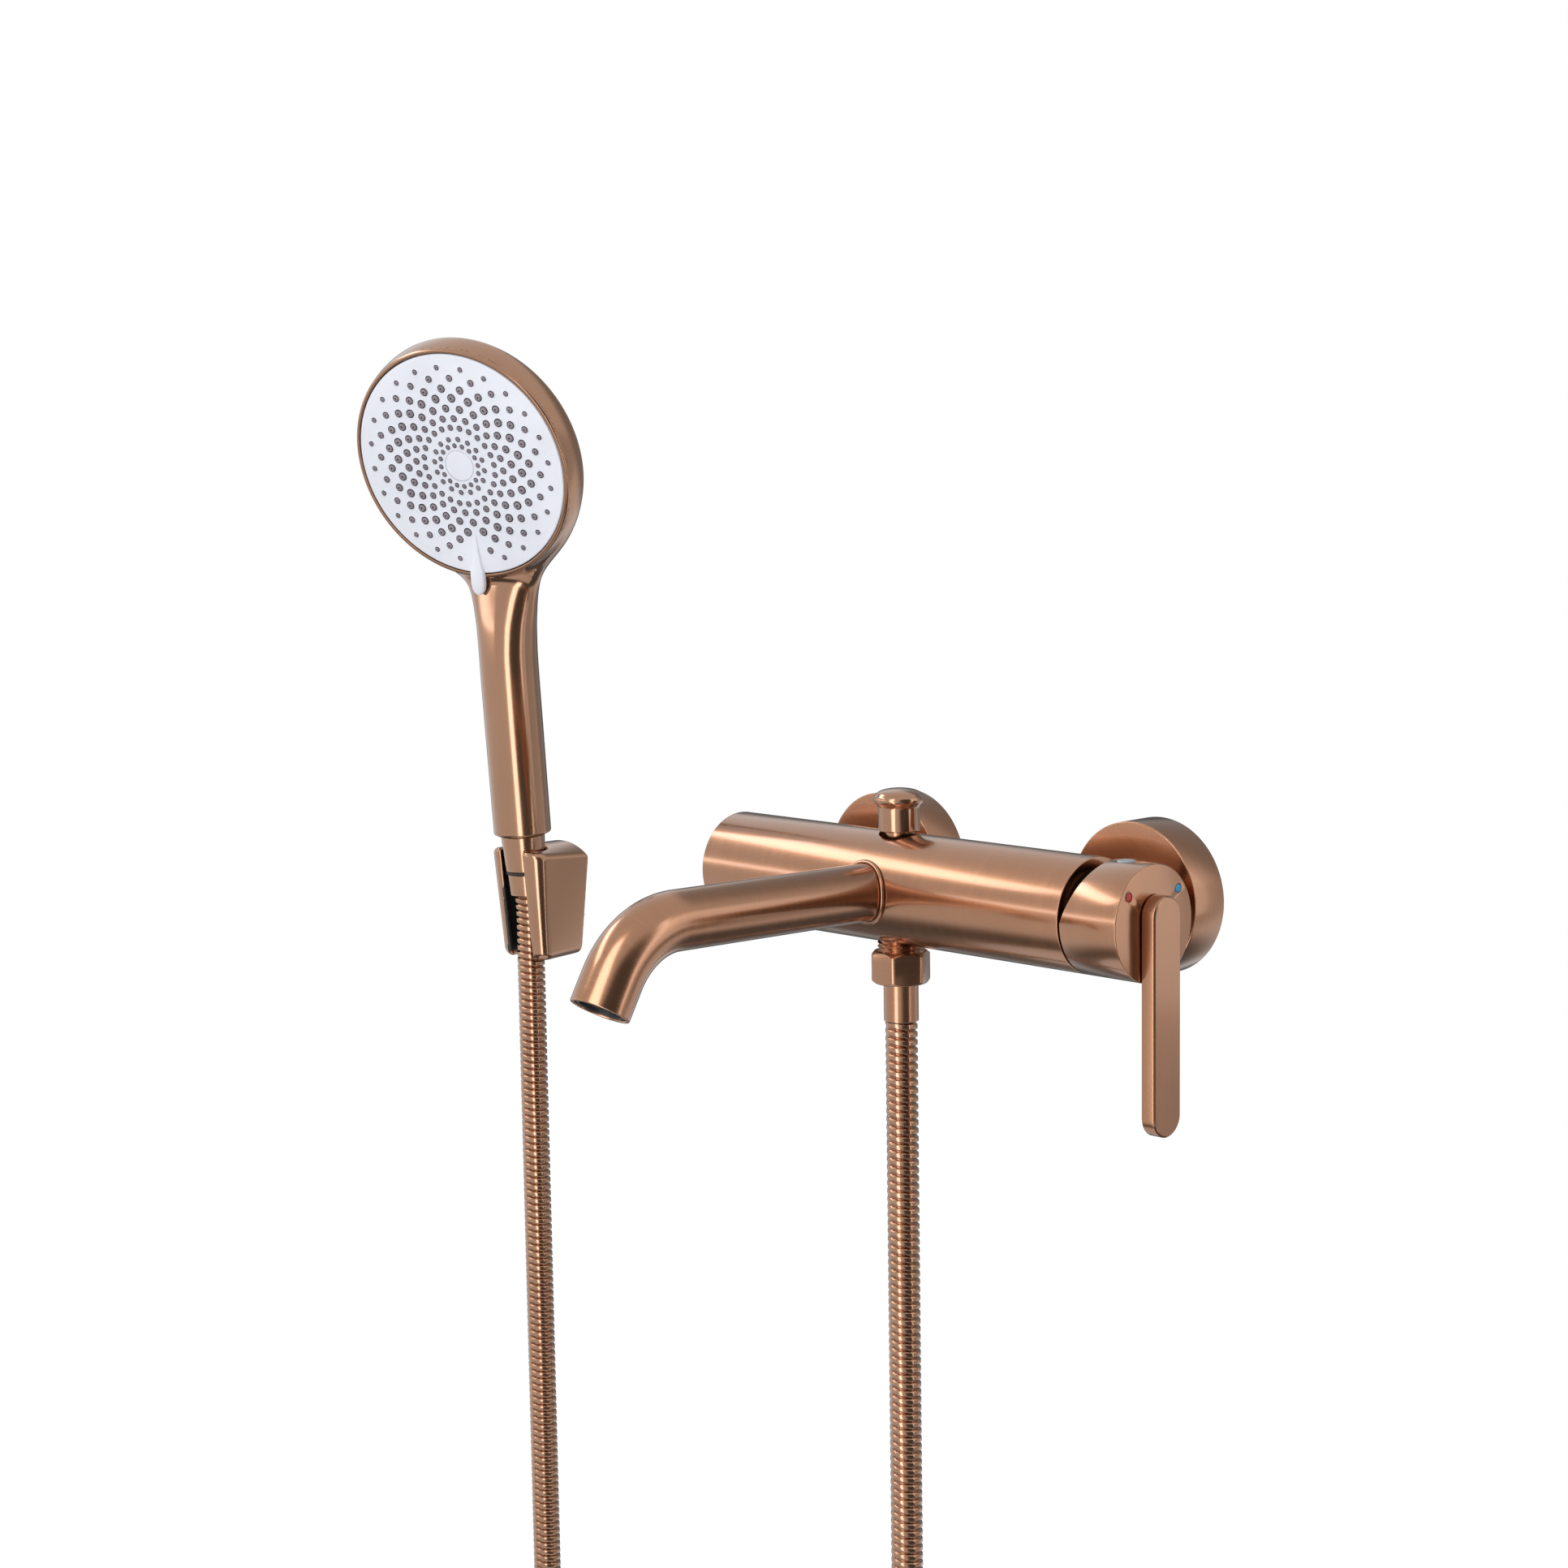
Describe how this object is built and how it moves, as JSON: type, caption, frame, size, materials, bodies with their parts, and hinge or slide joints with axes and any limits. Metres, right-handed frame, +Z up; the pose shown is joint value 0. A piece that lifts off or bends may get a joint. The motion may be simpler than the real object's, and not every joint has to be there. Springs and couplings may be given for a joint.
{
  "type": "wall mounted bath faucet",
  "caption": "Wall mounted single lever bath and shower mixer in brushed copper with bent spout, pull-up diverter, hose, wall holder and round hand shower.",
  "frame": {"origin": "on the finished wall, midway between the two water inlets", "axes": "+Z up, +X right as seen from the room, +Y into the wall"},
  "size_m": [0.5112, 0.2665, 0.9841],
  "materials": {
    "brushed_copper": "brushed copper plating",
    "polished_copper": "polished copper plating",
    "plated_plastic": "polished copper plating on plastic",
    "hose_cover": "spiral wound copper coloured strip over a rubber hose",
    "raw_brass": "machined",
    "steel": "machined",
    "white_plastic": "satin white",
    "nozzle_rubber": "soft grey silicone",
    "grey_plastic": "moulded",
    "black_plastic": "moulded",
    "rubber": "moulded",
    "hot_red": "enamel inlay",
    "cold_blue": "enamel inlay"
  },
  "bodies": {
    "faucet": {"mixer_body": "brushed_copper", "body_end_cap": "brushed_copper", "left_flange": "brushed_copper", "right_flange": "brushed_copper", "left_union": "raw_brass", "right_union": "raw_brass", "left_union_nut": "brushed_copper", "right_union_nut": "brushed_copper", "left_union_washer": "rubber", "right_union_washer": "rubber", "cartridge_base": "white_plastic", "cartridge_case": "white_plastic", "cartridge_nut": "raw_brass", "spout": "brushed_copper", "spout_ring": "brushed_copper", "aerator_housing": "black_plastic", "aerator_screen": "black_plastic", "diverter_gland": "brushed_copper", "shower_outlet": "brushed_copper", "hose_nut": "brushed_copper", "hose_washer": "rubber", "hose_ferrule": "brushed_copper", "shower_hose": "hose_cover", "shower_holder": "plated_plastic", "holder_plate": "steel", "holder_screw_upper": "steel", "holder_screw_lower": "steel"},
    "temperature": {"cartridge_carrier": "black_plastic", "pivot_pin": "steel"},
    "handle": {"cartridge_spindle": "steel", "handle_head": "brushed_copper", "lever": "brushed_copper", "grub_screw": "steel", "screw_plug": "grey_plastic", "hot_dot": "hot_red", "cold_dot": "cold_blue"},
    "diverter": {"diverter_knob": "brushed_copper", "diverter_rod": "steel", "diverter_seal": "rubber"},
    "hose_end": {"hose_end_sleeve": "polished_copper"},
    "hand_shower": {"cone_nut": "polished_copper", "cone_nut_ring": "rubber", "shower_washer": "rubber", "shower_inlet": "raw_brass", "shower_shell": "plated_plastic", "spray_core": "black_plastic"},
    "spray_selector": {"spray_face": "white_plastic", "nozzle_mat": "nozzle_rubber", "face_inlay": "white_plastic"}
  },
  "joints": [
    {"name": "temperature_turn", "type": "hinge", "parent": "faucet", "child": "temperature", "pos_m": [0.08, -0.06, 0], "axis": [1, 0, 0], "range_deg": [-45, 37]},
    {"name": "flow_tilt", "type": "hinge", "parent": "temperature", "child": "handle", "pos_m": [0.08, -0.06, 0], "axis": [0, -1, 0], "range_deg": [0, 20]},
    {"name": "diverter_lift", "type": "slide", "parent": "faucet", "child": "diverter", "axis": [0, 0, 1], "range_m": [0, 0.009]},
    {"name": "shower_lift", "type": "slide", "parent": "faucet", "child": "hose_end", "axis": [0, -0.068, 0.9977], "range_m": [0, 0.06]},
    {"name": "shower_turn", "type": "hinge", "parent": "hose_end", "child": "hand_shower", "pos_m": [-0.33, -0.0294, -0.007], "axis": [0, -0.068, 0.9977], "range_deg": [-71, 33]},
    {"name": "spray_select", "type": "hinge", "parent": "hand_shower", "child": "spray_selector", "pos_m": [-0.32014, -0.07134, 0.187], "axis": [0.3134, -0.8897, -0.3319], "range_deg": [-20, 20]}
  ]
}
